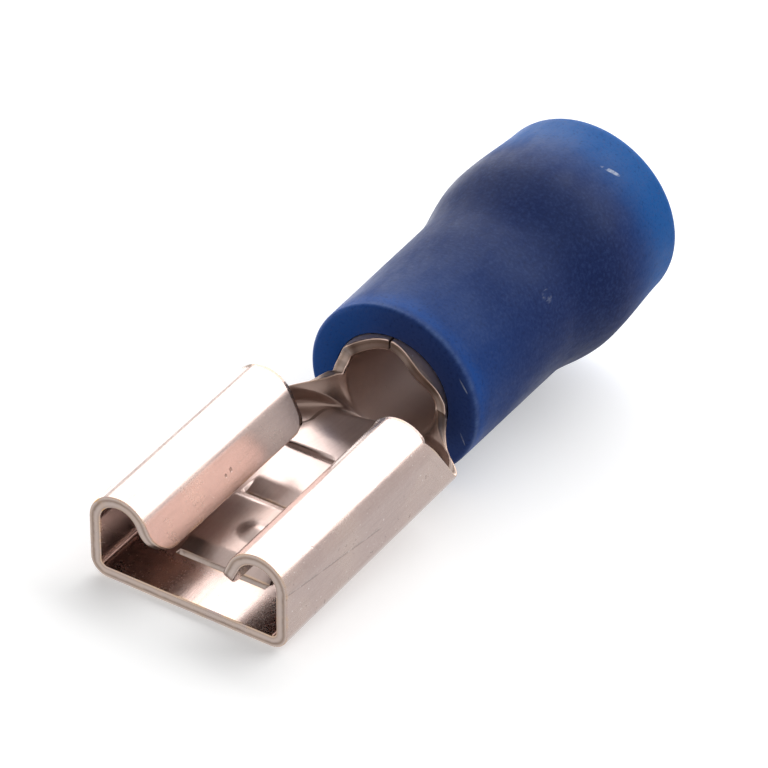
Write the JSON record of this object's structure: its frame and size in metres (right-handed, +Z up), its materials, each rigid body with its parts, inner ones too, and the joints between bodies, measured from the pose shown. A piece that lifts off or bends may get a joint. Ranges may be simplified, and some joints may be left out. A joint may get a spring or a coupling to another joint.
{
  "type": "female spade terminal",
  "caption": "Insulated female spade terminal: rolled sheet-metal lips grip a flat tab, and the wire barrel behind them sits in a blue sleeve with a flared wire entry.",
  "frame": {"origin": "centre of the footprint on the surface that the terminal lies on", "axes": "+Y runs from the mouth of the receptacle to the wire end and +Z is up from the surface that it lies on. At rest the terminal stands on the front edge of its floor and on the front edge of its sleeve, so its own axis climbs 9.44 degrees towards +Y"},
  "size_m": [0.0058, 0.0196, 0.0068],
  "materials": {
    "tinned_sheet": "bright tin plating over brass sheet",
    "blue_vinyl": "satin"
  },
  "bodies": {
    "root": {"crimp_terminal": "tinned_sheet", "insulating_sleeve": "blue_vinyl"}
  },
  "joints": []
}
